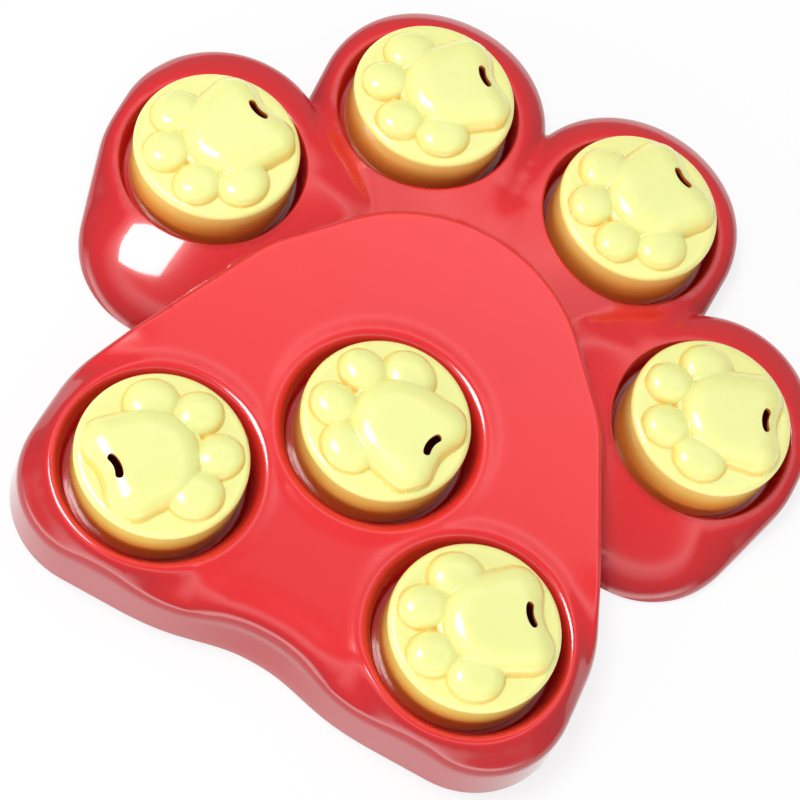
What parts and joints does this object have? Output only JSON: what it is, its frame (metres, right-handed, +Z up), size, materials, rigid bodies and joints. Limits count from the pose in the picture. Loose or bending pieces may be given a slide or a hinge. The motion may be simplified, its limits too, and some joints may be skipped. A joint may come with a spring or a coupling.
{
  "type": "dog puzzle feeder",
  "caption": "Paw-shaped dog puzzle feeder: a hollow raised pad with toes and round treat wells, each closed by a loose lift-off cap with an embossed paw print.",
  "frame": {"origin": "on the floor under the middle of the shell's outline", "axes": "+Z up, +Y towards the toes, +X to the right when the toes point away"},
  "size_m": [0.2624, 0.252, 0.0414],
  "materials": {
    "red_shell": "high gloss moulded red",
    "yellow_cap": "smooth satin gloss, pale yellow",
    "foot_rubber": "soft matt dark grey"
  },
  "bodies": {
    "shell": {"base_shell": "red_shell", "well_cup_pad_centre": "red_shell", "well_cup_pad_left": "red_shell", "well_cup_pad_right": "red_shell", "well_cup_toe_outer_left": "red_shell", "well_cup_toe_inner_left": "red_shell", "well_cup_toe_inner_right": "red_shell", "well_cup_toe_outer_right": "red_shell", "foot_pad_left": "foot_rubber", "foot_pad_right": "foot_rubber", "foot_toe_outer_left": "foot_rubber", "foot_toe_inner_left": "foot_rubber", "foot_toe_inner_right": "foot_rubber", "foot_toe_outer_right": "foot_rubber"},
    "cap_pad_centre": {"cap_pad_centre": "yellow_cap"},
    "cap_pad_left": {"cap_pad_left": "yellow_cap"},
    "cap_pad_right": {"cap_pad_right": "yellow_cap"},
    "cap_toe_outer_left": {"cap_toe_outer_left": "yellow_cap"},
    "cap_toe_inner_left": {"cap_toe_inner_left": "yellow_cap"},
    "cap_toe_inner_right": {"cap_toe_inner_right": "yellow_cap"},
    "cap_toe_outer_right": {"cap_toe_outer_right": "yellow_cap"}
  },
  "joints": [
    {"name": "lift_pad_centre", "type": "slide", "parent": "shell", "child": "cap_pad_centre", "axis": [0, 0, 1], "range_m": [0, 0.03]},
    {"name": "lift_pad_left", "type": "slide", "parent": "shell", "child": "cap_pad_left", "axis": [0, 0, 1], "range_m": [0, 0.03]},
    {"name": "lift_pad_right", "type": "slide", "parent": "shell", "child": "cap_pad_right", "axis": [0, 0, 1], "range_m": [0, 0.03]},
    {"name": "lift_toe_outer_left", "type": "slide", "parent": "shell", "child": "cap_toe_outer_left", "axis": [-0.0434, 0.0292, 0.9986], "range_m": [0, 0.03]},
    {"name": "lift_toe_inner_left", "type": "slide", "parent": "shell", "child": "cap_toe_inner_left", "axis": [-0.0163, 0.0497, 0.9986], "range_m": [0, 0.03]},
    {"name": "lift_toe_inner_right", "type": "slide", "parent": "shell", "child": "cap_toe_inner_right", "axis": [0.0163, 0.0497, 0.9986], "range_m": [0, 0.03]},
    {"name": "lift_toe_outer_right", "type": "slide", "parent": "shell", "child": "cap_toe_outer_right", "axis": [0.0434, 0.0292, 0.9986], "range_m": [0, 0.03]}
  ]
}
